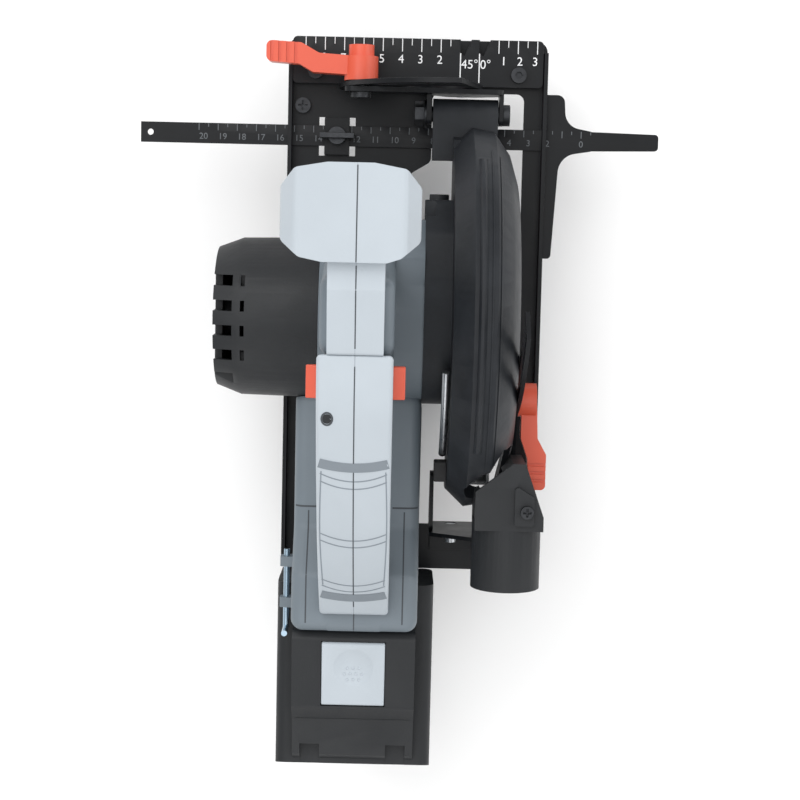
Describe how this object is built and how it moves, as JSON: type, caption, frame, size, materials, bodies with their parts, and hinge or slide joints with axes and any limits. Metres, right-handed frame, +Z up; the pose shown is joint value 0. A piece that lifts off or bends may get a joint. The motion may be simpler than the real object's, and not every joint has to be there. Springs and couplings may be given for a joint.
{
  "type": "circular saw",
  "caption": "Cordless circular saw with a bevelling, depth-adjustable head on a graduated shoe, rip fence, retracting guard and slide-off battery.",
  "frame": {"origin": "on the sole plane, under the arbor line and at the parting plane of the body shells", "axes": "+Z up from the sole, +Y towards the front of the shoe, +X towards the blade side"},
  "size_m": [0.2709, 0.3858, 0.243],
  "materials": {
    "light_grey_plastic": "fine moulded texture",
    "mid_grey_plastic": "fine moulded texture",
    "black_plastic": "fine moulded texture",
    "orange_plastic": "smooth moulded",
    "painted_steel": "satin black powder coat",
    "black_oxide": "black oxide",
    "plated_steel": "zinc plated",
    "cast_case": "painted casting",
    "cast_guard": "painted casting",
    "blade_steel": "ground",
    "bearing_steel": "ground",
    "lamination": "stacked sheet",
    "copper": "turned copper",
    "carbon": "pressed carbon",
    "circuit_board": "solder mask",
    "cell_wrap": "shrink wrap",
    "rubber": "matt",
    "guard_alloy": "satin"
  },
  "bodies": {
    "shoe": {"shoe_plate": "painted_steel", "scale_plate": "painted_steel", "scale_plate_screws": "black_oxide", "bevel_quadrant": "painted_steel", "rear_bevel_bracket": "painted_steel", "bevel_pivot_pins": "plated_steel"},
    "fence_screw": {"fence_lock_screw": "black_oxide"},
    "fence": {"rip_fence": "painted_steel"},
    "tilt_frame": {"pivot_bracket": "painted_steel", "depth_quadrant": "painted_steel", "bevel_clamp_bolt": "black_oxide", "depth_pivot_bolt": "black_oxide"},
    "bevel_lever": {"bevel_lock_lever": "orange_plastic"},
    "saw_head": {"depth_lock_bolt": "black_oxide", "upper_guard": "cast_guard", "gear_housing": "cast_case", "gear_housing_screws": "black_oxide", "guard_bumper": "rubber", "guard_spring": "plated_steel", "dust_port": "black_plastic", "left_housing": "mid_grey_plastic", "right_housing": "mid_grey_plastic", "case_screws": "black_oxide", "rear_grip_left": "light_grey_plastic", "rear_grip_right": "light_grey_plastic", "front_grip_left": "light_grey_plastic", "front_grip_right": "light_grey_plastic", "motor_cover": "black_plastic", "motor_magnet_can": "plated_steel", "brush_holder": "black_plastic", "carbon_brushes": "carbon", "ball_bearings": "bearing_steel", "trigger_spring": "bearing_steel", "switch_module": "black_plastic", "lockoff_spring": "bearing_steel", "spindle_lock_spring": "bearing_steel", "control_board": "circuit_board", "terminal_block": "black_plastic"},
    "depth_lever": {"depth_lock_lever": "orange_plastic"},
    "trigger": {"trigger": "black_plastic"},
    "lockoff": {"lockoff_button": "orange_plastic"},
    "spindle_lock": {"spindle_lock_button": "black_plastic"},
    "hex_key": {"hex_key": "plated_steel"},
    "spindle": {"output_spindle": "bearing_steel", "drive_gear": "bearing_steel", "inner_flange": "plated_steel", "outer_flange": "plated_steel", "blade_bolt": "plated_steel", "saw_blade": "blade_steel"},
    "armature": {"armature_shaft": "bearing_steel", "armature_core": "lamination", "commutator": "copper", "cooling_fan": "black_plastic", "pinion": "bearing_steel"},
    "lower_guard": {"lower_guard": "guard_alloy"},
    "battery": {"battery_case_lower": "black_plastic", "battery_case_upper": "black_plastic", "battery_cells": "cell_wrap", "battery_latch_spring": "bearing_steel"},
    "battery_latch": {"battery_button": "light_grey_plastic"}
  },
  "joints": [
    {"name": "fence_screw_turn", "type": "hinge", "parent": "shoe", "child": "fence_screw", "pos_m": [-0.0153, 0.0923, 0.008], "axis": [0, 0, 1], "range_deg": [0, 180]},
    {"name": "fence_slide", "type": "slide", "parent": "shoe", "child": "fence", "axis": [1, 0, 0], "range_m": [0, 0.09]},
    {"name": "bevel_tilt", "type": "hinge", "parent": "shoe", "child": "tilt_frame", "pos_m": [0.049, 0, 0.0134], "axis": [0, 1, 0], "range_deg": [0, 45]},
    {"name": "bevel_lever_turn", "type": "hinge", "parent": "tilt_frame", "child": "bevel_lever", "pos_m": [-0.0028, 0.128, 0.035], "axis": [0, 1, 0], "range_deg": [0, 40]},
    {"name": "depth_swing", "type": "hinge", "parent": "tilt_frame", "child": "saw_head", "pos_m": [0.05, 0.1036, 0.026], "axis": [-1, 0, 0], "range_deg": [0, 32]},
    {"name": "depth_lever_turn", "type": "hinge", "parent": "saw_head", "child": "depth_lever", "pos_m": [0.0855, -0.039, 0.055], "axis": [1, 0, 0], "range_deg": [0, 20]},
    {"name": "trigger_pull", "type": "slide", "parent": "saw_head", "child": "trigger", "axis": [0, 0, 1], "range_m": [0, 0.006], "stiffness_N_per_m": 900, "springref_m": -0.001, "deforming": ["trigger_spring"]},
    {"name": "lockoff_press", "type": "slide", "parent": "saw_head", "child": "lockoff", "axis": [0, 0, -1], "range_m": [0, 0.0035], "stiffness_N_per_m": 700, "springref_m": -0.001, "deforming": ["lockoff_spring"]},
    {"name": "spindle_lock_press", "type": "slide", "parent": "saw_head", "child": "spindle_lock", "axis": [0, -1, 0], "range_m": [0, 0.004], "stiffness_N_per_m": 800, "springref_m": -0.001, "deforming": ["spindle_lock_spring"]},
    {"name": "hex_key_pull", "type": "slide", "parent": "saw_head", "child": "hex_key", "axis": [0, -1, 0], "range_m": [0, 0.045]},
    {"name": "blade_spin", "type": "hinge", "parent": "saw_head", "child": "spindle", "pos_m": [0.045, 0, 0.028], "axis": [1, 0, 0], "continuous": true},
    {"name": "armature_spin", "type": "hinge", "parent": "saw_head", "child": "armature", "pos_m": [-0.02, 0, 0.053], "axis": [1, 0, 0], "continuous": true},
    {"name": "lower_guard_swing", "type": "hinge", "parent": "saw_head", "child": "lower_guard", "pos_m": [0.048, 0, 0.028], "axis": [-1, 0, 0], "range_deg": [0, 112], "stiffness_Nm_per_rad": 0.25, "springref_deg": -28.65, "deforming": ["guard_spring"]},
    {"name": "battery_slide", "type": "slide", "parent": "saw_head", "child": "battery", "axis": [0, -1, 0], "range_m": [0, 0.11]},
    {"name": "battery_latch_press", "type": "slide", "parent": "battery", "child": "battery_latch", "axis": [0, 0, -1], "range_m": [0, 0.003], "stiffness_N_per_m": 900, "springref_m": -0.001, "deforming": ["battery_latch_spring"]}
  ],
  "couplings": [
    {"joint": "armature_spin", "follows": "blade_spin", "ratio": -4}
  ]
}
